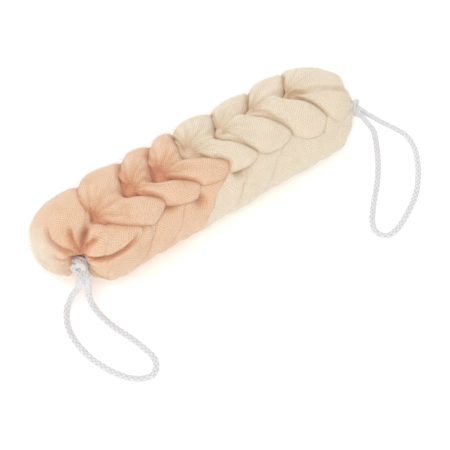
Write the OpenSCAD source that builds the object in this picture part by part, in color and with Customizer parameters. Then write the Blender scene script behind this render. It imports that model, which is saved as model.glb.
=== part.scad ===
// Long bath scrubber: a fat chain of puffy netting, half peach and half cream, with a cord hand loop tied on
// at each end. X runs along the body with the peach half at -X, Y across it, and Z up. The origin is in the
// middle of the flat underside, which rests on the plane z = 0.
//
// Each chain stitch is three lobes round a running strand: a far lobe over +Y, a near lobe over -Y and a back
// loop underneath. The body flexes at three lines across it, where the lobes leave a wedge of clearance.

/* [Body] */
// Length of the netting body
body_l = 364; // [350:2:380]
// Width of the body
body_w = 102; // [96:2:112]
// Height of the body before its underside settles flat
body_h = 92; // [86:2:98]
// Length of each rounded end
end_l = 52; // [46:1:56]
// How far the underside is pressed flat by its own weight
settle = 2; // [1:0.5:4]

/* [Stitches] */
// Gap left between neighbouring lobes
lobe_gap = 1; // [0.6:0.2:2]
// Radius of the running strand inside the chain
strand_r = 7; // [5:0.5:7.5]
// How far each stitch's V opens, in millimetres of length per degree away from the ridge
v_slant = 0.2; // [0:0.05:0.3]
// How square a lobe's section is: 2 is an ellipse and higher values are boxier
lobe_squareness = 2.8; // [2:0.2:4]

/* [Flexing] */
// Largest bend at each flex line, each way, in degrees
flex_limit = 20; // [5:1:20]

/* [Hand loops] */
// Diameter of the braided cord
cord_d = 6; // [4:0.5:6]
// Radius of the netting where the cord is tied round it
neck_r = 3.6; // [3:0.2:4]

/* [Hidden] */

peach = [0.92, 0.76, 0.62];
cream = [0.93, 0.88, 0.80];
white = [0.90, 0.90, 0.90];

half_w = body_w / 2;
half_h = body_h / 2;
// Height of the body's axis, where the flex lines and the running strand lie
axis_z = half_h - settle;
// Where the straight middle of the body turns into a rounded end
end_x = body_l / 2 - end_l;
// Squareness of the rounded ends seen from above
end_squareness = 2.4;
// Lobes stop this far short of the body's tips, where the rounded end would come to a point
tip_x = body_l / 2 - 2;

// Where each stitch begins on the ridge of the body, with the end of the last stitch as a ninth value
stitch_x = [-tip_x, -127, -83, -51, -12, 21, 60, 103, tip_x];
// Flex lines, after the second, fourth and sixth stitch
flex_x = [stitch_x[2], stitch_x[4], stitch_x[6]];
// Stitches between one flex line and the next
stitches_per_part = 2;
// Half of the wedge left open at a flex line, with a degree to spare, and the gap at its root
wedge = flex_limit / 2 + 1;
root_gap = 0.6;

// Angles round the body, from +Y over the top, at which the lobes of a stitch start and end
ridge_angle = 93;
far_lobe_angles = [12, 91];
near_lobe_angles = [95, 150];
back_loop_angles = [155, 367];
// The Vs stop opening this far round from the ridge
v_limit = 60;
lobe_inner_r = strand_r + 1;
lobe_sides = 14;
// Size of a lobe's blunt end against its middle
lobe_end_scale = 0.45;

// Place where each hand loop is tied on, with the neck's heading in plan and its dip below level
peach_tie = [-150, -20, 40];
peach_heading = 235;
cream_tie = [176, -18, 40];
cream_heading = -25;
neck_dip = 18;
// Space kept free round each tie
tie_space_r = 18.5;
// The peach tie sits deeper, so its space is open on this heading, from nearly level down to where the loop lies
mouth_heading = 238;
mouth_dips = [14, 40, 62];
mouth_r = 18;
mouth_l = 60;
// Gathered netting behind the neck, how far its middle is from the tie, and how far the neck reaches forwards
gather_r = 5.5;
gather_back = 12;
neck_front = 6;
// The hitch is two turns of the cord, pressed flatter than the cord itself
turn_w = cord_d;
turn_t = 4.4;
hitch_fit = 0.1;
// How far the middle of the hitch is in front of the tie
hitch_front = 1;
knot_r = 3.4;
// The cord's knot lies beside the neck, this far from its axis and behind the tie
knot_out = 12.3;
knot_back = 4;
cord_sides = 10;

// Middle of each cord, from one leg at its hitch, round the loop on the floor, to the other leg
floor_z = cord_d / 2 + 0.2;
peach_route = [
    [-154, -27, 30], [-159, -30, 22], [-166, -29, 13], [-175, -33, 6], [-183, -45, floor_z],
    [-187, -60, floor_z], [-187, -77, floor_z], [-184, -94, floor_z], [-178, -110, floor_z],
    [-170, -124, floor_z], [-160, -134, floor_z], [-149, -138, floor_z], [-141, -134, floor_z],
    [-137, -124, floor_z], [-139, -110, floor_z], [-143, -95, floor_z], [-149, -78, floor_z],
    [-153, -62, 4], [-155, -47, 8], [-153, -37, 17], [-148, -30, 28]
];
cream_route = [
    [186, -21, 34], [195, -25, 23], [206, -33, 12], [216, -44, 5], [221, -58, floor_z],
    [217, -75, floor_z], [208, -91, floor_z], [196, -106, floor_z], [180, -121, floor_z],
    [160, -133, floor_z], [140, -142, floor_z], [126, -143, floor_z], [119, -134, floor_z],
    [124, -121, floor_z], [139, -105, floor_z], [157, -88, floor_z], [173, -70, floor_z],
    [187, -50, 4], [192, -38, 11], [188, -31, 21], [183, -27, 31]
];

// Value raised to a power with its sign kept
function signed_pow(value, power) = sign(value) * pow(abs(value), power);

// Share of the full section that the body still has at x, falling to nothing at its tips
function end_share(x) =
    let (t = min(1, max(0, abs(x) - end_x) / end_l))
    pow(1 - pow(t, end_squareness), 1 / end_squareness);

// Distance from the body's axis to its skin at x and angle
function skin_r(x, angle) =
    end_share(x) / sqrt(pow(cos(angle) / half_w, 2) + pow(sin(angle) / half_h, 2));

// How far along the body the line between two stitches has moved at an angle round it: the front of the chain
// is a row of Vs that point to -X, and the back loops run straight across between the tops of the Vs
function slant(angle) = min(abs(angle - ridge_angle), abs(angle - 360 - ridge_angle), v_limit) * v_slant;

// Number of the rigid part that a stitch belongs to, from 0 at the peach end
function part_of(stitch) = floor((stitch - 1) / stitches_per_part);

// Limits along X of a part at height z, between its two wedges or the body's tips
function wedge_offset(z) = root_gap + abs(z - axis_z) * tan(wedge);
function part_low(part, z) = part == 0 ? -tip_x : flex_x[part - 1] + wedge_offset(z);
function part_high(part, z) = part == len(flex_x) ? tip_x : flex_x[part] - wedge_offset(z);

// One corner of a lobe: side runs -1 to 1 along the body and depth 0 to 1 from the strand to the skin
function lobe_point(stitch, angle, side, depth) =
    let (
        part = part_of(stitch),
        starts_part = stitch == part * stitches_per_part + 1,
        ends_part = stitch == (part + 1) * stitches_per_part,
        start = stitch_x[stitch - 1] + (starts_part ? 0 : lobe_gap / 2 + slant(angle)),
        end = stitch_x[stitch] + (ends_part ? 0 : slant(angle) - lobe_gap / 2),
        free_x = (start + end) / 2 + side * (end - start) / 2,
        r = lobe_inner_r + depth * max(1, skin_r(free_x, angle) - lobe_inner_r),
        z = axis_z + r * sin(angle),
        low = starts_part ? part_low(part, z) : start,
        high = ends_part ? part_high(part, z) : end
    )
    [(low + high) / 2 + side * (high - low) / 2, r * cos(angle), z];

// Size of a lobe's section along its length, round and full in the middle
function lobe_scale(t) = max(lobe_end_scale, sqrt(1 - pow(abs(2 * t - 1), 4)));

// A closed skin over rings of points, with flat ends
module skin_over(rings) {
    sides = len(rings[0]);
    last = len(rings) - 1;
    points = [for (ring = rings) for (point = ring) point];
    walls = [
        for (i = [0 : last - 1]) for (j = [0 : sides - 1])
            let (a = i * sides + j, b = i * sides + (j + 1) % sides)
            each [[a, b, a + sides], [b, b + sides, a + sides]]
    ];
    first_end = [for (j = [sides - 1 : -1 : 0]) j];
    last_end = [for (j = [0 : sides - 1]) last * sides + j];
    polyhedron(points = points, faces = concat([first_end], walls, [last_end]));
}

// One lobe of a stitch, from one angle round the body to another
module lobe(stitch, angles, steps) {
    skin_over([
        for (i = [0 : steps])
            let (t = i / steps, angle = angles[0] + t * (angles[1] - angles[0]), k = lobe_scale(t))
            [
                for (j = [0 : lobe_sides - 1])
                    let (
                        turn = 360 * j / lobe_sides,
                        side = k * signed_pow(cos(turn), 2 / lobe_squareness),
                        depth = 0.5 + 0.5 * k * signed_pow(sin(turn), 2 / lobe_squareness)
                    )
                    lobe_point(stitch, angle, side, depth)
            ]
    ]);
}

// Points an axis outwards from a tie, on a heading in plan and dipping below level
module at_tie(tie, heading, dip = neck_dip) {
    translate(tie) rotate([0, 90 + dip, heading]) children();
}

// Space kept free round the ties, for the knots and for the loops as they swing
module tie_spaces() {
    for (tie = [peach_tie, cream_tie])
        translate(tie) sphere(r = tie_space_r, $fn = 48);
    for (dip = mouth_dips)
        at_tie(peach_tie, mouth_heading, dip) cylinder(r = mouth_r, h = mouth_l, $fn = 48);
}

// A lobe in its netting's colour, hollowed round the ties on the first and last stitch
module netting_lobe(stitch, angles, steps) {
    color(stitch <= 4 ? peach : cream)
        if (stitch == 1 || stitch == len(stitch_x) - 1) {
            difference() {
                lobe(stitch, angles, steps);
                tie_spaces();
            }
        } else {
            lobe(stitch, angles, steps);
        }
}

module far_lobe(stitch) netting_lobe(stitch, far_lobe_angles, 8);
module near_lobe(stitch) netting_lobe(stitch, near_lobe_angles, 6);

// The back loops are pressed flat where the body rests
module back_loop(stitch) {
    block = body_l + body_w;
    difference() {
        netting_lobe(stitch, back_loop_angles, 16);
        translate([-block / 2, -block / 2, -block]) cube(block);
    }
}

// The strand that runs on through the stitches of one part, as far as the wedges allow
module running_strand(part) {
    clear = root_gap + strand_r * tan(wedge);
    low = part == 0 ? peach_tie.x + tie_space_r + lobe_gap : flex_x[part - 1] + clear;
    high = part == len(flex_x) ? cream_tie.x - tie_space_r - lobe_gap : flex_x[part] - clear;
    color(part < 2 ? peach : cream)
        translate([low, 0, axis_z]) rotate([0, 90, 0]) cylinder(r = strand_r, h = high - low, $fn = 48);
}

// Thread that ties the peach tube to the cream tube, wound round the strand beside the colour change
module centre_tie() {
    tie_w = 3;
    start = flex_x[1] + root_gap + lobe_inner_r * tan(wedge) + 2;
    color(white) translate([start, 0, axis_z]) rotate([0, 90, 0]) difference() {
        cylinder(r = strand_r + 0.7, h = tie_w, $fn = 48);
        translate([0, 0, -1]) cylinder(r = strand_r + 0.05, h = tie_w + 2, $fn = 48);
    }
}

// Netting drawn together into a neck, with a round bunch behind it
module gathered_end(tie, heading, shade) {
    color(shade) at_tie(tie, heading) {
        translate([0, 0, -gather_back]) sphere(r = gather_r, $fn = 48);
        translate([0, 0, -gather_back]) cylinder(r = neck_r, h = gather_back + neck_front, $fn = 48);
    }
}

// Two turns of the cord round the neck
module hitch(tie, heading) {
    color(white) at_tie(tie, heading)
        for (side = [-1, 1])
            translate([0, 0, side * turn_w / 2 + hitch_front]) rotate_extrude($fn = 48)
                translate([neck_r + hitch_fit + turn_t / 2, 0]) scale([turn_t / turn_w, 1])
                    circle(d = turn_w, $fn = 24);
}

// The knot that joins the cord's two ends, hidden behind the hitch
module cord_knot(tie, heading) {
    color(white) at_tie(tie, heading)
        translate([-knot_out, 0, -knot_back]) sphere(r = knot_r, $fn = 32);
}

// A round cord swept along its route
module cord(route) {
    last = len(route) - 1;
    skin_over([
        for (i = [0 : last])
            let (
                ahead = route[min(last, i + 1)] - route[max(0, i - 1)],
                along = ahead / norm(ahead),
                level = cross([0, 0, 1], along),
                across = level / norm(level),
                up = cross(along, across)
            )
            [
                for (j = [0 : cord_sides - 1])
                    let (turn = -360 * j / cord_sides)
                    route[i] + cord_d / 2 * (cos(turn) * across + sin(turn) * up)
            ]
    ]);
}

module peach_hand_loop() color(white) cord(peach_route);
module cream_hand_loop() color(white) cord(cream_route);

far_lobe(1);  // peach_far_lobe_1
far_lobe(2);  // peach_far_lobe_2
far_lobe(3);  // peach_far_lobe_3
far_lobe(4);  // peach_far_lobe_4
far_lobe(5);  // cream_far_lobe_5
far_lobe(6);  // cream_far_lobe_6
far_lobe(7);  // cream_far_lobe_7
far_lobe(8);  // cream_far_lobe_8
near_lobe(1);  // peach_near_lobe_1
near_lobe(2);  // peach_near_lobe_2
near_lobe(3);  // peach_near_lobe_3
near_lobe(4);  // peach_near_lobe_4
near_lobe(5);  // cream_near_lobe_5
near_lobe(6);  // cream_near_lobe_6
near_lobe(7);  // cream_near_lobe_7
near_lobe(8);  // cream_near_lobe_8
back_loop(1);  // peach_back_loop_1
back_loop(2);  // peach_back_loop_2
back_loop(3);  // peach_back_loop_3
back_loop(4);  // peach_back_loop_4
back_loop(5);  // cream_back_loop_5
back_loop(6);  // cream_back_loop_6
back_loop(7);  // cream_back_loop_7
back_loop(8);  // cream_back_loop_8
running_strand(0);  // peach_running_strand_a
running_strand(1);  // peach_running_strand_b
running_strand(2);  // cream_running_strand_c
running_strand(3);  // cream_running_strand_d
centre_tie();
gathered_end(peach_tie, peach_heading, peach);  // peach_gathered_end
hitch(peach_tie, peach_heading);  // peach_hitch
cord_knot(peach_tie, peach_heading);  // peach_cord_knot
peach_hand_loop();
gathered_end(cream_tie, cream_heading, cream);  // cream_gathered_end
hitch(cream_tie, cream_heading);  // cream_hitch
cord_knot(cream_tie, cream_heading);  // cream_cord_knot
cream_hand_loop();
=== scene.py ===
"""A long bath scrubber: a fat chain of puffy netting, half peach and half cream, lying on a pale floor with a
braided cord hand loop tied on at each end.

Sizes are in millimetres in the part's own frame, +X along the body from peach to cream, and turn into metres
where a mesh is made.
"""

import math

import bpy
import numpy as np
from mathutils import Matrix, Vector
from mathutils.bvhtree import BVHTree
from mathutils.kdtree import KDTree


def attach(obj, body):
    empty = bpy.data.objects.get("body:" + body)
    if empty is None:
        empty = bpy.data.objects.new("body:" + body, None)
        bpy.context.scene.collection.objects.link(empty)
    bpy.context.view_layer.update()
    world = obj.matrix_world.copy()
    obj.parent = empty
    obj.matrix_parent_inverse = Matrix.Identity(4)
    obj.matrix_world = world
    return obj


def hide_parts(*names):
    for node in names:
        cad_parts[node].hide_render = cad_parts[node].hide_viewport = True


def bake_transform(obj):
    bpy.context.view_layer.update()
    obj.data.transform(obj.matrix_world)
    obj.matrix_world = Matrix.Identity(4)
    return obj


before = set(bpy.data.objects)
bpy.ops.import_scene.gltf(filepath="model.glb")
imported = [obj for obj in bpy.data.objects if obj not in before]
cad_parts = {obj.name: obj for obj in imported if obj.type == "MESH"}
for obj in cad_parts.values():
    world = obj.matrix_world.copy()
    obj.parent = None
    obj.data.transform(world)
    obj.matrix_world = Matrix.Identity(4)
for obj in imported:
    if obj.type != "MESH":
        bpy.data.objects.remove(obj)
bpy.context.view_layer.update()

MM = 0.001
AXIS_Z = 44.0      # height of the body's axis
FLOOR_GAP = 0.3    # netting that meets the floor is pressed flat this far above it

# ---------------------------------------------------------------- shared mesh helpers


def unit(v):
    return v / np.maximum(np.linalg.norm(v, axis=-1, keepdims=True), 1e-9)


def curve(a, b, c, d, count):
    """Rows from b nearly to c on a smooth curve that comes from a and goes on to d."""
    t = (np.arange(count) / count)[:, None]
    return 0.5 * (2 * b + (c - a) * t + (2 * a - 5 * b + 4 * c - d) * t**2 + (3 * b - a - 3 * c + d) * t**3)


def spline(points, step):
    """A smooth line through rows of numbers, sampled about every step; the first three columns are a place."""
    p = np.array(points, float)
    p = np.vstack([2 * p[0] - p[1], p, 2 * p[-1] - p[-2]])
    rows = [curve(a, b, c, d, max(2, int(np.linalg.norm((c - b)[:3]) / step)))
            for a, b, c, d in zip(p[:-3], p[1:-2], p[2:-1], p[3:])]
    return np.vstack([*rows, p[-2][None]])


def even(line, step):
    """The same line with its samples a constant distance apart, and how far along it each one is."""
    far = np.concatenate([[0], np.cumsum(np.linalg.norm(np.diff(line[:, :3], axis=0), axis=1))])
    n = max(3, int(round(far[-1] / step)) + 1)
    at = np.linspace(0, far[-1], n)
    return np.stack([np.interp(at, far, c) for c in line.T], 1), at


def frames_along(line, up):
    """Side and top vectors at each point of a line; the section's top keeps towards up."""
    tangent = unit(np.gradient(line[:, :3], axis=0))
    wanted = np.broadcast_to(np.array(up, float), tangent.shape)
    tops, last = [], wanted[0]
    for t, w in zip(tangent, wanted):
        last = 0.75 * last + 0.25 * w
        last = unit(last - (last @ t) * t)
        tops.append(last)
    top = np.array(tops)
    return np.cross(tangent, top), top


def tube_faces(count, sides):
    """The quads between rings of vertices, and a face at each end."""
    i, j = np.meshgrid(np.arange(count - 1), np.arange(sides), indexing="ij")
    a, b = i * sides + j, i * sides + (j + 1) % sides
    quads = np.stack([a, b, b + sides, a + sides], -1).reshape(-1, 4).tolist()
    return quads + [list(range(sides - 1, -1, -1)), list(range((count - 1) * sides, count * sides))]


def rings(line, side, top, half_w, half_t, sides, squareness=2.0):
    """Vertices of elliptical or squarer rings along a line, and the faces of the tube through them."""
    turn = 2 * np.pi * np.arange(sides) / sides
    across = np.sign(np.cos(turn)) * np.abs(np.cos(turn)) ** (2 / squareness)
    upward = np.sign(np.sin(turn)) * np.abs(np.sin(turn)) ** (2 / squareness)
    half_w = np.broadcast_to(np.asarray(half_w, float), len(line))
    half_t = np.broadcast_to(np.asarray(half_t, float), len(line))
    v = (line[:, None, :3] + across[None, :, None] * side[:, None] * half_w[:, None, None]
         + upward[None, :, None] * top[:, None] * half_t[:, None, None])
    return v.reshape(-1, 3), tube_faces(len(line), sides)


def joined(parts):
    """Several (vertices, faces) as one."""
    verts, faces, start = [], [], 0
    for v, f in parts:
        verts.append(v)
        faces += [[i + start for i in face] for face in f]
        start += len(v)
    return np.vstack(verts), faces


def make(name, verts, faces, material):
    """A mesh object from vertices in millimetres."""
    mesh = bpy.data.meshes.new(name)
    mesh.from_pydata((np.asarray(verts) * MM).tolist(), [], faces)
    mesh.polygons.foreach_set("use_smooth", [True] * len(mesh.polygons))
    mesh.update()
    mesh.materials.append(material)
    obj = bpy.data.objects.new(name, mesh)
    bpy.context.scene.collection.objects.link(obj)
    return obj


def places(mesh):
    """A mesh's vertices in millimetres."""
    co = np.zeros(len(mesh.vertices) * 3, np.float32)
    mesh.vertices.foreach_get("co", co)
    return co.reshape(-1, 3).astype(float) / MM


def set_places(mesh, verts):
    mesh.vertices.foreach_set("co", (verts * MM).astype(np.float32).ravel())
    mesh.update()


def normals(mesh):
    n = np.zeros(len(mesh.vertices) * 3, np.float32)
    mesh.vertex_normals.foreach_get("vector", n)
    return n.reshape(-1, 3).astype(float)


def edges(mesh):
    e = np.zeros(len(mesh.edges) * 2, np.int32)
    mesh.edges.foreach_get("vertices", e)
    return e.reshape(-1, 2)


def relax(values, pairs, times):
    """Each vertex's value drawn half way to the mean of its neighbours', some times over."""
    values = values.copy()
    count = np.bincount(pairs.ravel(), minlength=len(values)).astype(float)
    count = np.maximum(count, 1).reshape([-1] + [1] * (values.ndim - 1))
    for _ in range(times):
        total = np.zeros_like(values)
        np.add.at(total, pairs[:, 0], values[pairs[:, 1]])
        np.add.at(total, pairs[:, 1], values[pairs[:, 0]])
        values += 0.5 * (total / count - values)
    return values


def set_value(mesh, name, values):
    (mesh.attributes.get(name) or mesh.attributes.new(name, "FLOAT", "POINT")).data.foreach_set(
        "value", values.astype(np.float32))


def waves(p, seed, size):
    """Smooth seeded unevenness from -1 to 1 at places p, with features of about that size in millimetres."""
    rng = np.random.default_rng(seed)
    total = np.zeros(len(p))
    for octave in range(2):
        for _ in range(4):
            direction = unit(rng.normal(size=3))
            total += np.sin(p @ direction * 2 * np.pi * 2**octave / size + rng.uniform(0, 6.28)) / 2**octave
    return total / 5


# ---------------------------------------------------------------- camera

CAMERA_TARGET = (2.9, -39.0, 0.0)
CAMERA_ELEVATION = 56.0
CAMERA_TURN = -35.1
CAMERA_DISTANCE = 1200.0
CAMERA_LENS = 96.6


def add_camera():
    data = bpy.data.cameras.new("camera")
    data.lens, data.sensor_width = CAMERA_LENS, 36
    camera = bpy.data.objects.new("camera", data)
    bpy.context.scene.collection.objects.link(camera)
    e, a = math.radians(CAMERA_ELEVATION), math.radians(CAMERA_TURN)
    back = Vector((math.sin(a) * math.cos(e), -math.cos(a) * math.cos(e), math.sin(e)))
    camera.location = (Vector(CAMERA_TARGET) + back * CAMERA_DISTANCE) * MM
    camera.rotation_mode = "QUATERNION"
    camera.rotation_quaternion = (-back).to_track_quat("-Z", "Y")
    bpy.context.scene.camera = camera


add_camera()

# ---------------------------------------------------------------- materials


class Nodes:
    """A short way to write a node material."""

    def __init__(self, name):
        self.material = bpy.data.materials.new(name)
        self.material.use_nodes = True
        self.tree = self.material.node_tree
        self.tree.nodes.clear()
        self.out = self.tree.nodes.new("ShaderNodeOutputMaterial")

    def add(self, kind, inputs=(), **settings):
        node = self.tree.nodes.new("ShaderNode" + kind)
        for key, value in settings.items():
            setattr(node, key, value)
        for key, value in dict(inputs).items():
            socket = node.inputs[key]
            if isinstance(value, bpy.types.NodeSocket):
                self.tree.links.new(value, socket)
            else:
                socket.default_value = value
        return node

    def math(self, operation, a, b=0.0, clamp=False):
        return self.add("Math", {0: a, 1: b}, operation=operation, use_clamp=clamp).outputs[0]

    def noise(self, place, scale, detail=2.0):
        return self.add("TexNoise", {"Vector": place, "Scale": scale, "Detail": detail}).outputs["Fac"]

    def around_zero(self, value, share):
        """A value from 0 to 1 turned into one from minus to plus half of the share."""
        return self.math("MULTIPLY", self.math("SUBTRACT", value, 0.5), share)

    def ramp(self, value, stops):
        node = self.add("ValToRGB", {0: value})
        while len(node.color_ramp.elements) < len(stops):
            node.color_ramp.elements.new(0.5)
        for element, (at, colour) in zip(node.color_ramp.elements, stops):
            element.position = at
            element.color = (*colour, 1.0)
        return node.outputs[0]

    def tint(self, share, colour, by):
        """A colour multiplied by another one, where the share says."""
        node = self.add("Mix", {0: share, 6: colour, 7: (*by, 1.0)}, data_type="RGBA", blend_type="MULTIPLY")
        return node.outputs[2]

    def finish(self, shader):
        self.tree.links.new(shader, self.out.inputs["Surface"])
        return self.material


def srgb(r, g, b):
    """A colour given as it looks, 0 to 255, in the renderer's linear values."""
    return tuple(((c / 255 + 0.055) / 1.055) ** 2.4 if c > 10 else c / 3294.6 for c in (r, g, b))


NET_PITCH = 2.7   # mm between one thread and the next of the netting's diamonds


def net_pattern(n, place, pitch=NET_PITCH):
    """How much of a place is thread, 0 to 1: crossed threads, laid on from the side that each surface faces."""
    waver = n.add("TexNoise", {"Vector": place, "Scale": 55.0, "Detail": 1.0}).outputs["Color"]
    shift = n.add("VectorMath", {0: waver, "Scale": 0.005}, operation="SCALE").outputs[0]
    moved = n.add("VectorMath", {0: place, 1: shift}, operation="ADD").outputs[0]
    x, y, z = n.add("SeparateXYZ", {0: moved}).outputs
    facing = n.add("TexCoord").outputs["Normal"]
    weights = []
    for axis in n.add("SeparateXYZ", {0: facing}).outputs:
        weights.append(n.math("POWER", n.math("ABSOLUTE", axis), 3.0))
    turn = math.pi / (pitch * MM)
    total = 0.0
    for weight, (a, b) in zip(weights, ((y, z), (x, z), (x, y))):
        one = n.math("ABSOLUTE", n.math("SINE", n.math("MULTIPLY", n.math("ADD", a, b), turn)))
        two = n.math("ABSOLUTE", n.math("SINE", n.math("MULTIPLY", n.math("SUBTRACT", a, b), turn)))
        thread = n.math("SUBTRACT", 1.0, n.math("MULTIPLY", n.math("MINIMUM", one, two), 1.35, clamp=True))
        total = n.math("ADD", total, n.math("MULTIPLY", thread, weight))
    whole = n.math("ADD", n.math("ADD", weights[0], weights[1]), weights[2])
    return n.math("DIVIDE", total, whole, clamp=True)


def netting(name, crest, body, fold, deep, holes):
    """Fine soft netting with threads round small holes, and light and shade painted into its colour: paler
    where it stands proud, deeper and warmer in its folds. The "fold" value on the mesh is how enclosed each
    place is."""
    n = Nodes(name)
    place = n.add("TexCoord").outputs["Object"]
    shade_amount = n.add("Attribute", attribute_name="fold").outputs["Fac"]
    level = n.math("ADD", shade_amount, n.around_zero(n.noise(place, 45.0, 3.0), 0.5))
    level = n.math("ADD", level, n.around_zero(n.noise(place, 420.0), 0.22), clamp=True)
    # painted light and shade: the colour goes from the pale open colour to the deep folds' colour as a place is
    # more enclosed
    colour = n.ramp(level, [(0.0, crest), (0.2, body), (0.45, fold), (0.8, deep)])
    thread = net_pattern(n, place)
    gaps = n.math("ADD", n.math("MULTIPLY", n.math("SUBTRACT", 1.0, thread), 0.75),
                  n.around_zero(n.noise(place, 800.0, 1.0), 0.9), clamp=True)
    colour = n.tint(gaps, colour, holes)
    height = n.math("ADD", thread, n.math("MULTIPLY", n.noise(place, 1400.0), 0.4))
    bump = n.add("Bump", {"Height": height, "Strength": 0.4, "Distance": 0.0006}).outputs[0]
    skin = n.add("BsdfPrincipled", {
        "Base Color": colour, "Roughness": 0.8, "Specular IOR Level": 0.25, "Sheen Weight": 0.3,
        "Sheen Roughness": 0.45, "Subsurface Weight": 0.35, "Subsurface Radius": (0.8, 0.45, 0.3),
        "Subsurface Scale": 0.005, "Normal": bump})
    return n.finish(skin.outputs[0])


def braid_material(name, light, dark):
    """White textile yarn: fine fibres along each yarn, with shade painted a little greyer in the gaps between
    yarns.
    """
    n = Nodes(name)
    uv = n.add("UVMap", uv_map="yarn").outputs[0]
    stretched = n.add("Mapping", {"Vector": uv, "Scale": (0.5, 9.0, 1.0)}).outputs[0]
    fibre = n.noise(stretched, 1.0)
    # painted shade: greyer where a yarn dips under the others, added to the fibres' own tone
    low = n.add("Attribute", attribute_name="fold").outputs["Fac"]
    shade = n.math("ADD", n.math("MULTIPLY", fibre, 0.45), n.math("MULTIPLY", low, 0.75), clamp=True)
    colour = n.ramp(shade, [(0.1, light), (0.9, dark)])
    bump = n.add("Bump", {"Height": fibre, "Strength": 0.5, "Distance": 0.0004}).outputs[0]
    skin = n.add("BsdfPrincipled", {
        "Base Color": colour, "Roughness": 0.6, "Sheen Weight": 0.25, "Subsurface Weight": 0.15,
        "Subsurface Radius": (1.0, 1.0, 1.0), "Subsurface Scale": 0.001, "Normal": bump})
    return n.finish(skin.outputs[0])


# each netting's painted highlight where open, its own colour, two painted shades for its folds, and its colour
# through the holes
PEACH = netting("peach netting", srgb(241, 218, 195), srgb(232, 201, 170), srgb(228, 182, 148),
                srgb(224, 164, 130), srgb(228, 188, 152))
CREAM = netting("cream netting", srgb(243, 234, 219), srgb(236, 225, 207), srgb(231, 212, 188),
                srgb(219, 193, 163), srgb(224, 206, 180))
NETTING = {"peach": PEACH, "cream": CREAM}
# the braid's white, and the grey of its darker fibres and of the shade painted in its gaps
CORD = braid_material("white braid", srgb(246, 246, 247), srgb(196, 195, 200))

# ---------------------------------------------------------------- braided cords

CORD_W, CORD_T = 6.0, 4.6     # the hollow braid lies a little flattened
YARNS = 4                     # yarns turning each way
BRAID_TURN = 22.0             # length in which a yarn goes once round
YARN_W, YARN_T = 1.35, 0.75   # half sizes of a yarn's section
YARN_LIFT = 0.32              # how far a yarn rises and sinks as it crosses the others
YARN_SIDES = 6


def braid(line, side, top, at, width, thickness):
    """Yarns that cross over and under one another round a soft core, with their UVs and depths for painted
    shade.
    """
    core = rings(line, side, top, width / 2 - 0.9, thickness / 2 - 0.9, 10)
    parts, uvs, depth = [core], [np.zeros((len(core[0]), 2))], [np.ones(len(core[0]))]
    for hand in (1, -1):
        for k in range(YARNS):
            turn = hand * 2 * np.pi * at / BRAID_TURN + 2 * np.pi * k / YARNS
            lift = YARN_LIFT * hand * np.cos(YARNS * 2 * np.pi * at / BRAID_TURN)
            a, b = width / 2 - YARN_T + lift, thickness / 2 - YARN_T + lift
            out = unit(np.cos(turn)[:, None] * side * thickness + np.sin(turn)[:, None] * top * width)
            middle = (line[:, :3] + np.cos(turn)[:, None] * side * a[:, None]
                      + np.sin(turn)[:, None] * top * b[:, None])
            along = unit(np.gradient(middle, axis=0))
            out = unit(out - np.sum(out * along, 1, keepdims=True) * along)
            parts.append(rings(middle, np.cross(along, out), out, YARN_W, YARN_T, YARN_SIDES))
            around = np.tile(np.arange(YARN_SIDES) / YARN_SIDES, len(middle))
            uvs.append(np.stack([np.repeat(at, YARN_SIDES), around * 7 + 10 * k], 1))
            # painted shade: more where a yarn dips under the others
            depth.append(np.repeat(0.5 - lift / (2 * YARN_LIFT), YARN_SIDES) * 0.6)
    verts, faces = joined(parts)
    return verts, faces, np.vstack(uvs), np.concatenate(depth)


def braid_object(name, route, up=(0, 0, 1), width=CORD_W, thickness=CORD_T):
    """A braided cord as one mesh, with the points of its middle and its length in metres."""
    line, at = even(spline(route, 1.0), 0.8)
    side, top = frames_along(line, up)
    verts, faces, uv, depth = braid(line, side, top, at, width, thickness)
    obj = make(name, verts, faces, CORD)
    layer = obj.data.uv_layers.new(name="yarn")
    corner = np.zeros(len(obj.data.loops), np.int32)
    obj.data.loops.foreach_get("vertex_index", corner)
    layer.data.foreach_set("uv", uv[corner].astype(np.float32).ravel())
    # the depths become shade painted by the braid's material
    set_value(obj.data, "fold", depth)
    return obj, line[:, :3] * MM, at[-1] * MM


LOOP_Z = 3.2   # the middle of a cord that lies on the floor
PEACH_ROUTE = [
    (-154, -27, 30), (-159, -30, 22), (-166, -29, 13), (-175, -33, 6), (-183, -45, LOOP_Z),
    (-187, -60, LOOP_Z), (-187, -77, LOOP_Z), (-184, -94, LOOP_Z), (-178, -110, LOOP_Z),
    (-170, -124, LOOP_Z), (-160, -134, LOOP_Z), (-149, -138, LOOP_Z), (-141, -134, LOOP_Z),
    (-137, -124, LOOP_Z), (-139, -110, LOOP_Z), (-143, -95, LOOP_Z), (-149, -78, LOOP_Z),
    (-153, -62, 4), (-155, -47, 8), (-153, -37, 17), (-148, -30, 28)]
CREAM_ROUTE = [
    (186, -21, 34), (195, -25, 23), (206, -33, 12), (216, -44, 5), (221, -58, LOOP_Z),
    (217, -75, LOOP_Z), (208, -91, LOOP_Z), (196, -106, LOOP_Z), (180, -121, LOOP_Z),
    (160, -133, LOOP_Z), (140, -142, LOOP_Z), (126, -143, LOOP_Z), (119, -134, LOOP_Z),
    (124, -121, LOOP_Z), (139, -105, LOOP_Z), (157, -88, LOOP_Z), (173, -70, LOOP_Z),
    (187, -50, 4), (192, -38, 11), (188, -31, 21), (183, -27, 31)]

for shade, route in (("peach", PEACH_ROUTE), ("cream", CREAM_ROUTE)):
    loop, middle, length = braid_object(f"{shade}_hand_loop_braid", route)
    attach(loop, f"{shade}_loop")
    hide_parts(f"{shade}_hand_loop")

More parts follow.
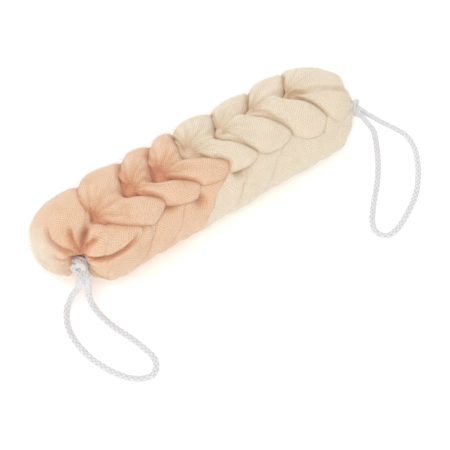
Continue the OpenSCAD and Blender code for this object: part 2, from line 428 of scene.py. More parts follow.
# each loop's two ends run side by side out of its hitch, and bend where the loop lifts
STEMS = {"peach": ([(-146, -13, 41), (-150.5, -20, 35), (-154, -27, 30), (-159, -30, 22)],
                   [(-142.5, -16, 40.5), (-146.5, -23, 34), (-148, -30, 28), (-153, -37, 17)]),
         "cream": ([(173, -16, 42), (180, -18.5, 38), (186, -21, 34), (195, -25, 23)],
                   [(172, -20, 40), (178, -23.5, 35), (183, -27, 31), (188, -31, 21)])}
for shade, stems in STEMS.items():
    for name, route in zip("ab", stems):
        stem, _, _ = braid_object(f"{shade}_hand_loop_stem_{name}", route)
        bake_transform(stem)

# ---------------------------------------------------------------- hitches, knots and gathered necks

TIES = {"peach": ((-150, -20, 40), 235), "cream": ((176, -18, 40), -25)}   # place, and the heading of its neck
NECK_DIP = 18      # degrees that a neck points below level


def tie_frame(shade):
    """Place of a tie, the way its neck points, a sideways and an upward direction."""
    place, heading = TIES[shade]
    h, d = math.radians(heading), math.radians(NECK_DIP)
    out = np.array([math.cos(d) * math.cos(h), math.cos(d) * math.sin(h), -math.sin(d)])
    side = unit(np.cross([0, 0, 1], out))
    return np.array(place, float), out, side, np.cross(out, side)


HITCH_BACK = {"peach": 3.5, "cream": 2.5}      # how far back along the neck the turns lie
HITCH_RADIUS = {"peach": 6.3, "cream": 5.4}
KNOT_ASIDE = {"peach": 12.3, "cream": 10.6}    # where the knot sits behind its hitch
KNOT_BACK = {"peach": 4, "cream": 1}
NECK_RINGS, NECK_SIDES = 36, 96


def hitch(shade):
    """Three turns of the braid round the neck, and the short strand that crosses over them on top."""
    place, out, side, up = tie_frame(shade)
    place = place - out * HITCH_BACK[shade]
    turn = np.linspace(-math.radians(80), math.radians(1000), 130)
    forward = np.interp(np.arange(130), [0, 43, 86, 129], [-1.4, -1.2, 3.2, 7.4])
    wraps = (place + out * forward[:, None]
             + HITCH_RADIUS[shade] * (np.cos(turn)[:, None] * side + np.sin(turn)[:, None] * up))
    over = [place + out * f + side * s + up * u
            for f, s, u in ((-3, -7.5, 2), (-2, -6, 6), (1.4, -1, 9.0), (5.4, 3.5, 8.2), (8.6, 5.4, 4))]
    return wraps, over


for shade in TIES:
    place, out, side, up = tie_frame(shade)
    wraps, over = hitch(shade)
    wrap, _, _ = braid_object(f"{shade}_hitch_turns", wraps, unit(wraps[0] - (place - out * 4)), 5.8, 4.2)
    bar, _, _ = braid_object(f"{shade}_hitch_crossing", over, up, 5.2, 3.6)
    for piece in (wrap, bar):
        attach(piece, f"{shade}_tie")
    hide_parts(f"{shade}_hitch")
    t = np.linspace(0, 2 * np.pi, 60)
    knot_at = place + (side * KNOT_ASIDE[shade] - out * KNOT_BACK[shade])
    trefoil = knot_at + 0.62 * np.stack([np.sin(t) + 2 * np.sin(2 * t), np.cos(t) - 2 * np.cos(2 * t),
                                         -np.sin(3 * t)], 1)
    knot, _, _ = braid_object(f"{shade}_knot_braid", trefoil, (0, 0, 1), 2.8, 2.2)
    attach(knot, f"{shade}_tie")
    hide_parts(f"{shade}_cord_knot")

    # the netting drawn together: a pleated funnel that narrows into the neck
    reach = np.linspace(-15, 5, NECK_RINGS)
    radius = 2.8 + 11.0 * np.clip((-reach - 2) / 13, 0, 1) ** 1.3
    radius[-1] *= 0.4
    reach = reach - HITCH_BACK[shade]
    turn = 2 * np.pi * np.arange(NECK_SIDES) / NECK_SIDES
    pleat = 1 + 0.13 * np.cos(13 * turn + 0.6 * np.sin(3 * turn)) + 0.05 * np.cos(29 * turn)
    ring = radius[:, None] * pleat[None]
    verts = (place + out * reach[:, None, None]
             + ring[..., None] * (np.cos(turn)[:, None] * side + np.sin(turn)[:, None] * up))
    neck = make(f"{shade}_neck_pleats", verts.reshape(-1, 3), tube_faces(NECK_RINGS, NECK_SIDES),
                NETTING[shade])
    # painted shade: some all over the funnel, more in the valleys between its pleats and less on their ridges
    set_value(neck.data, "fold", np.clip(0.45 - 2.2 * (ring / radius[:, None] - 1), 0, 1).ravel())
    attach(neck, f"{shade}_tie")
    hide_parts(f"{shade}_gathered_end")

# ---------------------------------------------------------------- lobes of netting

HALF_W, HALF_H = 50.0, 45.0   # half sizes of the body
TIP_X, END_L = 181.0, 52.0    # its tips, and how long its rounded ends are
ROUND = 47.0                  # its mean radius
VOXEL = 1.45                  # grain of the melted skins


def hull(x, angle):
    """Places on the body's smooth outline; angle goes round from +Y over the top, in degrees."""
    t = np.clip((np.abs(x) - (TIP_X - END_L)) / END_L, 0, 1)
    share = (1 - t**2.4) ** (1 / 2.4)
    a = np.radians(angle)
    return np.stack([x, HALF_W * share * np.cos(a), AXIS_Z + HALF_H * share * np.sin(a)], -1)


def spot(x, angle):
    """One place on the outline."""
    return hull(float(x), float(angle))


def hull_grid(x_low, x_high, a_low, a_high, step):
    """An even grid over part of the outline: x, angle, places and outward directions."""
    fine = np.linspace(x_low, x_high, 900)
    ridge = hull(fine, np.full(900, 90.0))
    far = np.concatenate([[0], np.cumsum(np.linalg.norm(np.diff(ridge, axis=0), axis=1))])
    x, angle = np.meshgrid(np.interp(np.arange(0, far[-1], step), far, fine),
                           np.arange(a_low, a_high, math.degrees(step / ROUND)), indexing="ij")
    p = hull(x, angle)
    return x, angle, p, unit(np.cross(np.gradient(p, axis=1), np.gradient(p, axis=0)))


def rounded(corners):
    """A closed line with soft corners through (x, angle) corners."""
    c = np.array(corners, float)
    rows = zip(np.roll(c, 1, 0), c, np.roll(c, -1, 0), np.roll(c, -2, 0))
    return np.vstack([curve(*row, 12) for row in rows])


def distance_in(outline, x, angle, p):
    """How far each place is inside an outline of (x, angle), below zero outside it."""
    inside = np.zeros(x.shape, bool)
    for (x0, a0), (x1, a1) in zip(outline, np.roll(outline, -1, 0)):
        if a0 != a1:
            crosses = (angle > a0) != (angle > a1)
            inside ^= crosses & (x < (x1 - x0) * (angle - a0) / (a1 - a0) + x0)
    rim = hull(outline[:, 0], outline[:, 1])
    flat = p.reshape(-1, 3)
    near = np.min([np.linalg.norm(flat - q, axis=1) for q in rim], axis=0).reshape(x.shape)
    return np.where(inside, near, -near)


def smooth_step(t):
    t = np.clip(t, 0, 1)
    return t * t * (3 - 2 * t)


def near_to(p, place, size):
    """1 at a place, falling softly away over about size millimetres."""
    return np.exp(-(np.linalg.norm(p - np.array(place), axis=-1) / size) ** 2)


GRID = 1.7      # mm between the points of a patch
UNDER = 27.0    # mm that a patch reaches down into the body


def quilt(corners, depth, edge=17.0):
    """A fat closed patch that lies on the body's outline inside its (x, angle) corners: rounded down over its
    edge, lower where depth(x, angle, places) says, and filled underneath."""
    outline = rounded(corners)
    (x_low, a_low), (x_high, a_high) = outline.min(0), outline.max(0)
    x, angle, p, n = hull_grid(max(x_low - 5, -TIP_X + 0.1), min(x_high + 5, TIP_X - 0.1),
                               a_low - 6, a_high + 6, GRID)
    d = distance_in(outline, x, angle, p)
    down = depth(x, angle, p) + edge * (1 - np.sqrt(1 - (1 - np.clip(d / edge, 0, 1)) ** 2))
    down = down + 4 * np.clip(-d, 0, 4)
    top = p - n * np.minimum(down, UNDER + 8)[..., None]
    bottom = p - n * np.maximum(UNDER, down + 3)[..., None]
    inside = d > -3
    keep = inside[:-1, :-1] & inside[1:, :-1] & inside[:-1, 1:] & inside[1:, 1:]
    rows, columns = x.shape
    number = np.arange(rows * columns).reshape(rows, columns)
    a, b, c, e = number[:-1, :-1], number[1:, :-1], number[1:, 1:], number[:-1, 1:]
    low = rows * columns
    faces = np.stack([a, e, c, b], -1)[keep].tolist() + (np.stack([b, c, e, a], -1)[keep] + low).tolist()
    padded = np.pad(keep, 1)
    for (di, dj), (u, v) in (((-1, 0), (a, e)), ((1, 0), (c, b)), ((0, -1), (b, a)), ((0, 1), (e, c))):
        open_side = keep & ~padded[1 + di:rows + di, 1 + dj:columns + dj]
        faces += np.stack([v, u, u + low, v + low], -1)[open_side].tolist()
    used = np.unique(np.array(faces))
    index = np.zeros(2 * low, int)
    index[used] = np.arange(len(used))
    verts = np.vstack([top.reshape(-1, 3), bottom.reshape(-1, 3)])[used]
    return verts, index[np.array(faces)].tolist()


def pillow(points):
    """A closed fat tube through (x, y, z, half width, half thickness) rows, flat side out and rounded at both
    ends."""
    line, at = even(spline(points, 1.5), 1.5)
    half_w, half_t = np.maximum(line[:, 3], 1.0), np.maximum(line[:, 4], 1.0)
    cap = np.minimum(at, at[-1] - at)
    ends = np.where(at < at[-1] / 2, half_w[0], half_w[-1])
    close = np.sqrt(np.clip(1 - (1 - np.clip(cap / np.maximum(ends, 2), 0, 1)) ** 2, 0.01, 1))
    core = np.stack([np.clip(line[:, 0], -130, 130), 0 * line[:, 0], 0 * line[:, 0] + AXIS_Z], 1)
    side, top = frames_along(line, unit(line[:, :3] - core))
    return rings(line, side, top, half_w * close, half_t * close, 20, 2.35)


def remeshed(obj, voxel):
    """The object's new mesh: one even skin round everything in its old one."""
    remesh = obj.modifiers.new("remesh", "REMESH")
    remesh.mode, remesh.voxel_size, remesh.use_smooth_shade = "VOXEL", voxel * MM, True
    mesh = bpy.data.meshes.new_from_object(obj.evaluated_get(bpy.context.evaluated_depsgraph_get()))
    obj.modifiers.clear()
    obj.data = mesh
    return mesh


def melted(name, parts, material):
    """Closed meshes merged into one skin with its creases softened, and pressed flat where it meets the
    floor."""
    obj = make(name, *joined(parts), material)
    mesh = remeshed(obj, VOXEL)
    if not mesh.materials:
        mesh.materials.append(material)
    verts = relax(places(mesh), edges(mesh), 5)
    verts[:, 2] = np.maximum(verts[:, 2], FLOOR_GAP)
    set_places(mesh, verts)
    return obj


def pleats(obj, pit, angles, seed, depth=4.6, reach=29.0, axis=(0, 0, 1)):
    """Creases that run out from a pit over a skin, at angles in degrees round an axis, and fade with
    distance."""
    mesh = obj.data
    v, n = places(mesh), normals(mesh)
    axis = unit(np.array(axis, float))
    one = unit(np.cross([0, 1, 0] if abs(axis[1]) < 0.9 else [1, 0, 0], axis))
    two = np.cross(axis, one)
    d = v - np.array(pit)
    flat = d - np.outer(d @ axis, axis)
    far, wide = np.linalg.norm(d, axis=1), np.linalg.norm(flat, axis=1)
    around = np.degrees(np.arctan2(d @ two, d @ one))
    wobble = 7 * waves(v, seed, 30)
    sunk = np.zeros(len(v))
    for i, angle in enumerate(angles):
        off = np.radians((around - angle + wobble + 180) % 360 - 180) * np.maximum(wide, 4)
        sunk = np.maximum(sunk, np.exp(-(off / 2.2) ** 2) * (1 - 0.3 * (i % 2)))
    sunk *= np.exp(-(far / reach) ** 2) * np.clip(wide / 5, 0, 1)
    set_places(mesh, v - n * (depth * sunk)[:, None])
    # the crease value is kept for painting shade along these creases
    set_value(mesh, "crease", sunk)


def shade_of(stitch):
    return "peach" if stitch <= 4 else "cream"


PART_BODIES = ["peach_outer", "peach_middle", "cream_middle", "cream_outer"]
STITCHES_SHOWN = range(2, 9)

# where each V's pit lies along the ridge, and its angle round the body
PITS = {2: (-129, 100), 3: (-83, 91), 4: (-51, 92), 5: (-13, 86), 6: (24, 80), 7: (63, 74), 8: (104, 80)}
# the edge that each far lobe shows towards the peach end, from the ridge to the back, as (x, angle)
FAR_EDGE = {
    2: [(-132, 101), (-133, 80), (-127, 62), (-118, 40), (-112, 18), (-110, -18)],
    3: [(-86, 94), (-85, 72), (-74, 48), (-65, 24), (-62, -18)],
    4: [(-54, 94), (-52, 70), (-40, 45), (-32, 24), (-30, -18)],
    5: [(-17, 88), (-18, 68), (-12, 46), (-6, 28), (-2, -18)],
    6: [(22, 83), (31, 64), (38, 46), (44, 28), (48, -18)],
    7: [(59, 78), (67, 62), (77, 45), (85, 26), (89, -18)],
    8: [(100, 82), (108, 68), (118, 50), (124, 34), (128, -18)],
    9: [(176, 104), (180, 80), (178, 50), (172, 20), (168, -18)],
}
# the rest of each stitch's outline: its near lobe, from the next pit round the end and back
NEAR_EDGE = {
    2: [(-86, 93), (-72, 104), (-56, 119), (-56, 133), (-74, 150), (-84, 146), (-97, 138), (-114, 124),
        (-130, 112)],
    3: [(-53, 94), (-36, 108), (-19, 121), (-16, 133), (-27, 148), (-45, 143), (-62, 130), (-78, 108)],
    4: [(-14, 88), (2, 102), (19, 116), (21, 128), (6, 142), (-14, 138), (-30, 128), (-48, 106)],
    5: [(22, 88), (36, 104), (50, 127), (46, 139), (33, 143), (10, 136), (-3, 120), (-12, 100)],
    6: [(62, 76), (76, 96), (91, 123), (87, 137), (71, 143), (53, 138), (33, 118), (22, 96)],
    7: [(105, 84), (122, 104), (132, 128), (129, 143), (117, 155), (101, 150), (86, 130), (66, 96)],
    8: [(170, 122), (167, 136), (158, 150), (146, 155), (136, 150), (124, 128), (106, 100)],
}
PIT_DEPTH = {2: 12, 3: 9, 4: 12, 5: 8, 6: 4, 7: 4, 8: 6}
# where a lobe stands higher: x, angle, how much and over what size
CROWNS = {2: [(-100, 66, 2.5, 20), (-94, 38, 3, 16), (-92, 112, 2, 18)],
          3: [(-62, 70, 2, 16), (-50, 40, 3, 14), (-38, 116, 2, 16)],
          4: [(-28, 68, 2, 16), (-17, 40, 3, 14), (-2, 112, 2, 16)],
          5: [(12, 54, 6, 20), (20, 106, 3, 14), (34, 122, 1.5, 12)],
          6: [(46, 92, 5, 15), (66, 114, 3, 18), (62, 44, 3, 13)],
          7: [(88, 92, 5, 16), (106, 116, 3, 18), (102, 42, 3, 15)],
          8: [(126, 72, 1, 22), (136, 108, 3, 16), (152, 120, 2, 12)]}


def stitch_outline(k):
    """The (x, angle) corners of a stitch; the next one laps over its far edge, but the fifth laps over the
    sixth."""
    under = {5: 1, 8: 0}.get(k, 10)
    hidden = [(x + under, angle) for x, angle in reversed(FAR_EDGE[k + 1][1:])]
    own = [(x - (9 if k == 6 and angle < 80 else 0), angle) for x, angle in FAR_EDGE[k]]
    return own + hidden + NEAR_EDGE[k]


OUTLINES = {k: rounded(stitch_outline(k)) for k in STITCHES_SHOWN}


def stitch_depth(k):
    """How far a stitch lies below the body's outline: in its pits, in the valley of its V, and under the
    neighbours that lap over it."""
    next_pit = PITS.get(k + 1, (168, 95))
    here, there = spot(*PITS[k]), spot(*next_pit)

    def depth(x, angle, p):
        far_side = smooth_step((97 - angle) / 14)
        total = (-0.6 + PIT_DEPTH[k] * near_to(p, here, 8.0)
                 + 0.6 * PIT_DEPTH.get(k + 1, 0) * near_to(p, there, 7.0))
        along = (x - here[0]) / (there[0] - here[0])
        middle = PITS[k][1] + (next_pit[1] - PITS[k][1]) * along
        valley = (np.exp(-((angle - middle) * 0.8 / 4.5) ** 2)
                  * smooth_step(along * 3) * smooth_step(3.6 - along * 3))
        total += (1.2 if k < 4 else 2.2) * valley * (k < 8)
        laps = [(far_side, k + 1), (1 - far_side, k - 1)]
        if k == 5:
            laps = laps[1:]
        elif k == 6:
            laps.append((far_side, 5))
        for share, over in laps:
            if over in OUTLINES:
                total += 9 * share * smooth_step(distance_in(OUTLINES[over], x, angle, p) / 9)
        for crown_x, crown_angle, rise, size in CROWNS.get(k, ()):
            total -= rise * near_to(p, spot(crown_x, crown_angle), size)
        if k == 8:
            total += 3 * smooth_step((x - 128) / 30) * smooth_step((90 - angle) / 30)
            # a crease runs out from the pit through the last stitch
            crease = np.interp(x, [103, 130, 155, 170], [82, 96, 111, 118])
            total += 6 * np.exp(-((angle - crease) * 0.8 / 3.0) ** 2) * smooth_step((x - 100) / 12)
        return total
    return depth


netting_pieces = []
for k in STITCHES_SHOWN:
    body = melted(f"{shade_of(k)}_chain_lobes_{k}",
                  [quilt(stitch_outline(k), stitch_depth(k), edge=15 if k < 5 else 13)], NETTING[shade_of(k)])
    spread = np.arange(-60, 110, 15) + np.random.default_rng(k).uniform(-5, 5, 12)
    pleats(body, spot(PITS[k][0] + 1, PITS[k][1]) - [0, 0, 12], spread, k)
    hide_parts(f"{shade_of(k)}_far_lobe_{k}", f"{shade_of(k)}_near_lobe_{k}")
    netting_pieces.append((body, k))

# the back loops lean the way the Vs open: how far along the body, for each angle round it
BACK_LEAN = [(122, 32), (140, 22), (160, 2), (180, -15), (210, -22), (240, -19), (270, -12), (300, -4),
             (335, 5), (362, 14), (382, 20)]
# where one stitch's back loop meets the next along the body; each laps 7 mm past it
SEAMS = {1: -127, 2: -83, 3: -51, 4: -12, 5: 21, 6: 60, 7: 103, 8: 150}
BACK_DENTS = [spot(-53, 133), spot(-24, 149), spot(24, 140)]
for k in STITCHES_SHOWN:
    first_lean, last_lean = {7: (0.7, 0.3), 8: (0.3, 0.3)}.get(k, (1.0, 1.0))
    first = [(SEAMS[k - 1] - 7 + first_lean * (max(along, 0) if k == 2 else along), angle)
             for angle, along in BACK_LEAN]
    last = [(SEAMS[k] + 7 + last_lean * along, angle) for angle, along in BACK_LEAN]

    def back_depth(x, angle, p):
        ripple = waves(np.stack([x * 2.6, angle * 0.3, 0 * x], -1).reshape(-1, 3), k, 40).reshape(x.shape)
        dents = sum(9 * near_to(p, place, 7) for place in BACK_DENTS)
        return 4.8 * smooth_step((180 - angle) / 34) + 0.8 + 2.0 * ripple + dents

    body = melted(f"{shade_of(k)}_back_fold_{k}", [quilt(first[::2] + last[::-2], back_depth, edge=9)],
                  NETTING[shade_of(k)])
    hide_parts(f"{shade_of(k)}_back_loop_{k}")
    netting_pieces.append((body, k))

# The first stitch is drawn down to the peach tie, and the last to the cream tie: everything dips to the neck.
# A hollow's axis, how deep it is and how wide.
HOLLOW = {"peach": (unit(np.array([-0.44, -0.66, 0.5])), 25.0, 12.0),
          "cream": (tie_frame("cream")[1], 15.5, 14.5)}
SLOT_ACROSS, SLOT_DOWN = unit(np.array([0.82, -0.57, 0.0])), unit(np.array([-0.48, -0.68, -0.56]))


def end_depth(shade, base):
    """How far an end lies below the body's outline, at least base."""
    place = tie_frame(shade)[0]
    axis, deepest, wide = HOLLOW[shade]

    def depth(x, angle, p):
        d = p - place
        off = np.linalg.norm(d - (d @ axis)[..., None] * axis, axis=-1)
        total = base + deepest * np.exp(-(off / wide) ** 1.6) * (d @ axis > -5)
        if shade == "peach":   # the end is cut away low down in front, and the loop hangs out through a slot
            total += 17 * smooth_step((-122 - x) / 40) * np.exp(-((angle - 204) / 50) ** 2)
            across, below = d @ SLOT_ACROSS, d @ SLOT_DOWN
            total += 27 * np.exp(-(np.abs(across) / 9.5) ** 3) * smooth_step((below + 5) / 10)
        return total
    return depth


# the outlines of the pieces of the peach end, as (x, angle)
PEACH_END = {
    "peach_end_lobes_1": [
        [(-124, 101), (-112, 60), (-104, 25), (-100, -18), (-160, -18), (-180.8, 10), (-180.8, 60),
         (-180.8, 110), (-180.6, 165), (-172, 166), (-163, 156), (-157, 138), (-151, 130), (-140, 113)],
        [(-128, 104), (-112, 112), (-97, 122), (-84, 134), (-82, 152), (-98, 166), (-126, 168), (-148, 157),
         (-157, 138), (-142, 114)]],
    "peach_end_folds_1": [
        [(-152, 140), (-120, 140), (-86, 132), (-73, 144), (-76, 166), (-90, 194), (-110, 218), (-140, 215),
         (-156, 170)],
        [(-160, 160), (-180.8, 140), (-180.8, 240), (-180.8, 340), (-178, 365), (-140, 382), (-104, 385),
         (-104, 300), (-104, 235), (-148, 200)]]}
CREAM_END = [(118, 132), (140, 120), (160, 112), (180.8, 100), (180.8, 200), (180.8, 300), (180.8, 400),
             (160, 395), (132, 388), (128, 300), (128, 220), (118, 170)]
# what fills the middle of each end
PEACH_PLUG = [(-150, 4, 46, 17, 16), (-166, 4, 47, 16, 15), (-177, 4, 47, 12, 11)]
CREAM_PLUG = [(150, 6, 46, 17, 16), (166, 7, 47, 16, 15), (176, 8, 48, 12, 11)]
# creases drawn over the peach end, as (x, angle), each with its depth
END_CREASES = [([(-156, 135), (-155, 126), (-153, 112), (-148, 97)], 6.5),
               ([(-155, 134), (-150, 128), (-143, 118), (-132, 106)], 6.5),
               ([(-153, 136), (-144, 129), (-130, 125)], 5.5),
               ([(-158, 138), (-163, 122), (-167, 106), (-168, 92), (-163, 74)], 5.0),
               ([(-153, 141), (-146, 146), (-130, 153), (-110, 153), (-98, 148), (-90, 140)], 5.5),
               ([(-160, 141), (-171, 132), (-177, 100)], 3.5)]
CREASE_WIDTH = 2.1


def creased(obj, knot):
    """Presses the end creases into a skin. They run on down into the hollow, get shallow near the knot, and
    fade at their far ends."""
    v = places(obj.data)
    deep, sunk, inward = np.zeros(len(v)), np.zeros(len(v)), np.zeros_like(v)
    calm = 0.25 + 0.75 * smooth_step((np.linalg.norm(v - knot, axis=1) - 12) / 16)
    for corners, depth in END_CREASES:
        line = spline([spot(*corner) for corner in corners], 1.5)
        outward = unit(line - [-(TIP_X - END_L), 0, AXIS_Z])
        gaps = []
        for q, n in zip(line, outward):   # measured square to the outline, and only through the near skin
            d = v - q
            gaps.append(np.linalg.norm(d - (d @ n)[:, None] * n, axis=1) + 99 * (d @ n < -28))
        nearest, gap = np.argmin(gaps, 0), np.min(gaps, 0)
        here = np.exp(-(gap / CREASE_WIDTH) ** 2) * smooth_step((len(line) - nearest) / len(line) * 3.5)
        more = here * depth * calm > deep
        deep[more], inward[more] = (here * depth * calm)[more], -outward[nearest[more]]
        sunk = np.maximum(sunk, here * (0.4 + 0.6 * calm))
    set_places(obj.data, v + inward * deep[:, None])
    # the crease value is kept for painting shade along these creases, less of it near the knot
    set_value(obj.data, "crease", sunk)


place, out, _, _ = tie_frame("peach")
for name, base, spacing, pleat_depth, fill, stands_for in (
        ("peach_end_lobes_1", 0.0, 26, 5.5, [], ["peach_far_lobe_1", "peach_near_lobe_1"]),
        ("peach_end_folds_1", 1.6, 24, 3.0, [pillow(PEACH_PLUG)], ["peach_back_loop_1"])):
    body = melted(name, [quilt(corners, end_depth("peach", base)) for corners in PEACH_END[name]] + fill, PEACH)
    pleats(body, place, range(-170, 190, spacing), len(name), depth=pleat_depth, reach=40, axis=out)
    creased(body, place)
    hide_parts(*stands_for)
    netting_pieces.append((body, 1))

place, out, _, _ = tie_frame("cream")
body = melted("cream_end_folds_8",
              [quilt(CREAM_END, end_depth("cream", 3.5), edge=10), pillow(CREAM_PLUG)], CREAM)
pleats(body, place, range(-170, 190, 24), 18, reach=30, axis=out)
netting_pieces.append((body, 8))

# ---------------------------------------------------------------- the cores hidden inside the chain

for shade, letter, x0, x1, body_name in (
        ("peach", "a", -128, -85, "peach_outer"), ("peach", "b", -80, -15, "peach_middle"),
        ("cream", "c", -9, 57, "cream_middle"), ("cream", "d", 63, 154, "cream_outer")):
    route = [(x0, 0, AXIS_Z, 6, 6), ((x0 + x1) / 2, 1, AXIS_Z, 7, 7), (x1, 0, AXIS_Z, 6, 6)]
    core = melted(f"{shade}_running_strand_{letter}_netting", [pillow(route)], NETTING[shade])
    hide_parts(f"{shade}_running_strand_{letter}")
    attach(core, body_name)
turn = np.linspace(0, 2 * np.pi * 3, 120)
thread_line = np.stack([-8 + turn / 6.28, 8.2 * np.cos(turn), AXIS_Z + 8.2 * np.sin(turn)], 1)
side, top = frames_along(thread_line, (1, 0, 0))
thread = make("centre_tie_thread", *rings(thread_line, side, top, 0.6, 0.6, 8), CORD)
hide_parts("centre_tie")
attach(thread, "cream_middle")

# ---------------------------------------------------------------- painted shade: how enclosed each place on the netting is

SIGHT = 26.0    # mm that a ray looks for netting
RAYS = 18       # rays sent out from each place


def tree_of(pieces):
    """What a ray may hit: all the pieces as one."""
    verts, faces = joined([(places(obj.data), [p.vertices for p in obj.data.polygons]) for obj in pieces])
    return BVHTree.FromPolygons(verts.tolist(), faces)


def painted_shade_values(pieces):
    """Stores on every piece, as painted shade, how much of the view out from each place its neighbours and
    itself block.
    """
    tree = tree_of(pieces)
    k = np.arange(RAYS) + 0.5
    tilt, spin = np.sqrt(k / RAYS) * 0.97, k * 2.39996
    local = np.stack([tilt * np.cos(spin), tilt * np.sin(spin), np.sqrt(1 - tilt**2)], 1)
    for obj in pieces:
        mesh = obj.data
        v, n = places(mesh), normals(mesh)
        helper = np.where(np.abs(n[:, 2:3]) > 0.9, [[1.0, 0, 0]], [[0, 0, 1.0]])
        a = unit(np.cross(helper, n))
        b = np.cross(n, a)
        shade_amount = np.zeros(len(v))
        origins = [Vector(p) for p in v + n * 0.6]
        for row in local:
            directions = a * row[0] + b * row[1] + n * row[2]
            for i, (o, d) in enumerate(zip(origins, directions.tolist())):
                hit = tree.ray_cast(o, d, SIGHT)
                if hit[0] is not None:
                    shade_amount[i] += 1 - hit[3] / SIGHT
        crease = np.zeros(len(v), np.float32)
        if "crease" in mesh.attributes:
            mesh.attributes["crease"].data.foreach_get("value", crease)
        # painted shade: the share of the view that is blocked, plus the pressed creases, softened a little
        set_value(mesh, "fold", relax(shade_amount / RAYS + 0.6 * crease, edges(mesh), 3))


# ---------------------------------------------------------------- the netting puffed out by a cloth simulation

PUFF_FRAMES = 20
PUFF_MOST = 3.0     # mm that the netting may move
PUFF_GRAIN = 5.0    # mm from point to point of the cloth


def puff(pieces):
    """Blows every lobe up a little as cloth, held where it is deep in the chain, and moves its skin with it."""
    scene = bpy.context.scene
    coarse = []
    for obj in pieces:
        copy = obj.copy()
        copy.data = obj.data.copy()
        scene.collection.objects.link(copy)
        v = places(remeshed(copy, PUFF_GRAIN))
        inner = hull(np.clip(v[:, 0], -TIP_X, TIP_X), np.zeros(len(v)))[:, 1] / HALF_W
        depth = 1 - np.hypot(v[:, 1] / HALF_W, (v[:, 2] - AXIS_Z) / HALF_H) / np.maximum(inner, 0.2)
        held = copy.vertex_groups.new(name="held")
        held.add([int(i) for i in np.nonzero((depth > 0.3) | (v[:, 2] < 6))[0]], 1.0, "REPLACE")
        cloth = copy.modifiers.new("cloth", "CLOTH")
        cloth.settings.quality = 4
        cloth.settings.mass = 0.3
        cloth.settings.tension_stiffness = cloth.settings.compression_stiffness = 12
        cloth.settings.bending_stiffness = 0.4
        cloth.settings.vertex_group_mass = "held"
        cloth.settings.use_pressure = True
        cloth.settings.uniform_pressure_force = 4
        cloth.settings.effector_weights.gravity = 0
        cloth.point_cache.frame_start, cloth.point_cache.frame_end = 1, PUFF_FRAMES
        coarse.append(copy)
    for frame_number in range(1, PUFF_FRAMES + 1):
        scene.frame_set(frame_number)
    found = bpy.context.evaluated_depsgraph_get()
    for obj, copy in zip(pieces, coarse):
        before = places(copy.data)
        puffed = copy.evaluated_get(found).to_mesh()
        move = places(puffed) - before
        size = np.linalg.norm(move, axis=1, keepdims=True)
        move = relax(move * np.minimum(1, PUFF_MOST / np.maximum(size, 1e-6)), edges(copy.data), 2)
        copy.evaluated_get(found).to_mesh_clear()
        tree = KDTree(len(before))
        for i, place in enumerate(before):
            tree.insert(place, i)
        tree.balance()
        v = places(obj.data)
        shift = np.zeros_like(v)
        for i, place in enumerate(v):
            near = tree.find_n(place, 4)
            weights = np.array([1 / (gap + 0.5) for _, _, gap in near])
            shift[i] = (move[[j for _, j, _ in near]] * weights[:, None]).sum(0) / weights.sum()
        v = v + shift
        v[:, 2] = np.maximum(v[:, 2], FLOOR_GAP)
        set_places(obj.data, v)
        bpy.data.objects.remove(copy)
    scene.frame_set(1)


netting_objects = [obj for obj, _ in netting_pieces]
puff(netting_objects)
painted_shade_values(netting_objects)

# ---------------------------------------------------------------- the sheer outer netting

SHEER_LAYERS = (1.4, 3.6)    # mm that it stands off the lobes
SHEER_STEP = 3.2             # mm between its points
SHEER_LOWEST = 9             # mm above the floor that it comes down to
SHEER_PITCH = 3.0            # mm between its threads
LOBE_REACH = 16              # mm past the body's outline that no lobe reaches


def sheer_material():
    """Thin over the front, and gathered in more layers round the ends and the back."""
    n = Nodes("sheer netting")
    place = n.add("TexCoord").outputs["Object"]
    thread = net_pattern(n, place, SHEER_PITCH)
    cloud = n.noise(place, 40.0)
    x, y, _ = n.add("SeparateXYZ", {0: place}).outputs
    thick = 0.3
    for socket, low, high, share in ((x, -0.160, -0.181, 4.6), (y, 0.030, 0.052, 2.2), (x, 0.148, 0.178, 1.6)):
        spread = n.add("MapRange", {0: socket, 1: low, 2: high, 3: 0.0, 4: share},
                       interpolation_type="SMOOTHSTEP")
        thick = n.math("ADD", spread.outputs[0], thick)
    cover = n.math("MULTIPLY", n.math("ADD", n.math("MULTIPLY", thread, 0.13), 0.03), thick)
    colour = n.ramp(cloud, [(0.3, srgb(240, 232, 214)), (0.7, srgb(248, 243, 232))])
    skin = n.add("BsdfPrincipled", {"Base Color": colour, "Roughness": 0.9, "Specular IOR Level": 0.1,
                                    "Alpha": cover})
    return n.finish(skin.outputs[0])


SHEER = sheer_material()


def bend_over_flex(obj):
    """Bakes the piece's place into its mesh; it stays unbent over the flex line."""
    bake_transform(obj)


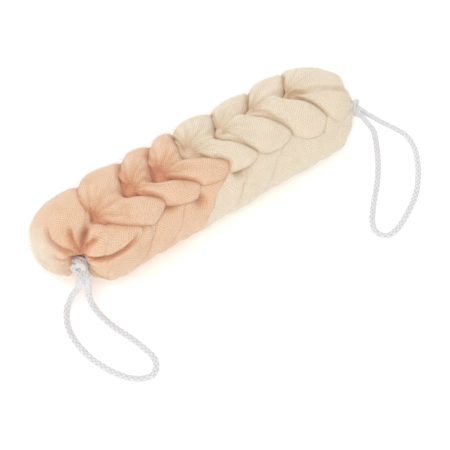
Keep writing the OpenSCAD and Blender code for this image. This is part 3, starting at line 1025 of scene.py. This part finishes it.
def sheer_netting(pieces):
    """Thin layers of netting that bridge the valleys between the lobes, cut into three along the body."""
    tree = tree_of(pieces)
    x, angle, p, n = hull_grid(-TIP_X + 0.6, TIP_X - 0.6, 0, 360, SHEER_STEP)
    high = np.full(x.shape, -9.0)    # how far the lobes stand out of the body's outline, where a ray finds them
    for at in np.ndindex(x.shape):
        hit = tree.ray_cast(Vector(p[at] + n[at] * LOBE_REACH), Vector(-n[at]), 25)
        if hit[0] is not None:
            high[at] = LOBE_REACH - hit[3]
    spread = high.copy()
    for _ in range(14):
        around = [np.roll(spread, 1, 1), np.roll(spread, -1, 1), np.vstack([spread[:1], spread[:-1]]),
                  np.vstack([spread[1:], spread[-1:]])]
        spread = np.maximum(high, 0.5 * spread + 0.125 * sum(around))
    ripple = waves(p.reshape(-1, 3), 77, 50).reshape(x.shape)
    loose = 1 + (0.8 * smooth_step((-140 - x) / 25)
                 * smooth_step((angle - 20) / 60) * smooth_step((220 - angle) / 60))
    number = np.arange(x.size).reshape(x.shape)
    quads = np.stack([number[:-1], number[1:], np.roll(number, -1, 1)[1:], np.roll(number, -1, 1)[:-1]], -1)
    middle = (x[:-1] + x[1:]) / 2
    for name, low_x, high_x, zone in (
            ("peach", -400, -47.5, 0), ("middle", -47.5, 24, 1), ("cream", 24, 400, 2)):
        shown = quads[(middle >= low_x) & (middle < high_x) & (p[:-1, :, 2] > SHEER_LOWEST)]
        used, index = np.unique(shown, return_inverse=True)
        faces = index.reshape(-1, 4).tolist()
        if zone != 1:   # closed over the body's tip
            faces.append(np.searchsorted(used, number[0 if zone == 0 else -1]).tolist())
        parts = []
        for off in SHEER_LAYERS:
            v = (p + n * (spread + off * loose * (1 + 0.3 * ripple))[..., None]).reshape(-1, 3)[used]
            parts.append((v, faces))
        obj = make(f"{name}_sheer_netting", *joined(parts), SHEER)
        obj.visible_shadow = False
        bend_over_flex(obj)


ZONE_OF = {1: 0, 2: 0, 3: 0, 4: 1, 5: 1, 6: 2, 7: 2}   # the flex line that each stitch crosses
for obj, k in netting_pieces:
    if k in ZONE_OF:
        bend_over_flex(obj)
    else:
        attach(obj, PART_BODIES[3])
sheer_netting(netting_objects)

# ---------------------------------------------------------------- floor and light


def add_light(name, place, target, size, power):
    data = bpy.data.lights.new(name, "AREA")
    data.shape, data.size, data.energy = "DISK", size, power
    light = bpy.data.objects.new(name, data)
    bpy.context.scene.collection.objects.link(light)
    light.location = place
    light.rotation_mode = "QUATERNION"
    light.rotation_quaternion = (Vector(target) - Vector(place)).to_track_quat("-Z", "Y")


def add_floor():
    n = Nodes("pale floor")
    place = n.add("TexCoord").outputs["Object"]
    colour = n.ramp(n.noise(place, 3.0), [(0.3, (0.93, 0.93, 0.93)), (0.7, (0.95, 0.95, 0.95))])
    paint = n.add("BsdfPrincipled", {
        "Base Color": colour, "Roughness": 0.9, "Specular IOR Level": 0.1,
        "Emission Color": (1.0, 1.0, 1.0, 1.0), "Emission Strength": 0.27})
    material = n.finish(paint.outputs[0])
    half = 6000
    floor = make("floor", [(-half, -half, 0), (half, -half, 0), (half, half, 0), (-half, half, 0)],
                 [[0, 1, 2, 3]], material)


add_floor()
add_light("soft key", (-0.9, -0.5, 1.7), (0, 0, 0.03), 1.8, 12)
add_light("back fill", (0.8, 1.2, 1.4), (0, 0, 0.03), 1.8, 5)
world = bpy.data.worlds.new("soft sky")
world.use_nodes = True
sky = world.node_tree.nodes["Background"]
sky.inputs[0].default_value, sky.inputs[1].default_value = (1, 1, 1, 1), 0.8
bpy.context.scene.world = world
bpy.context.scene.view_settings.view_transform = "Standard"
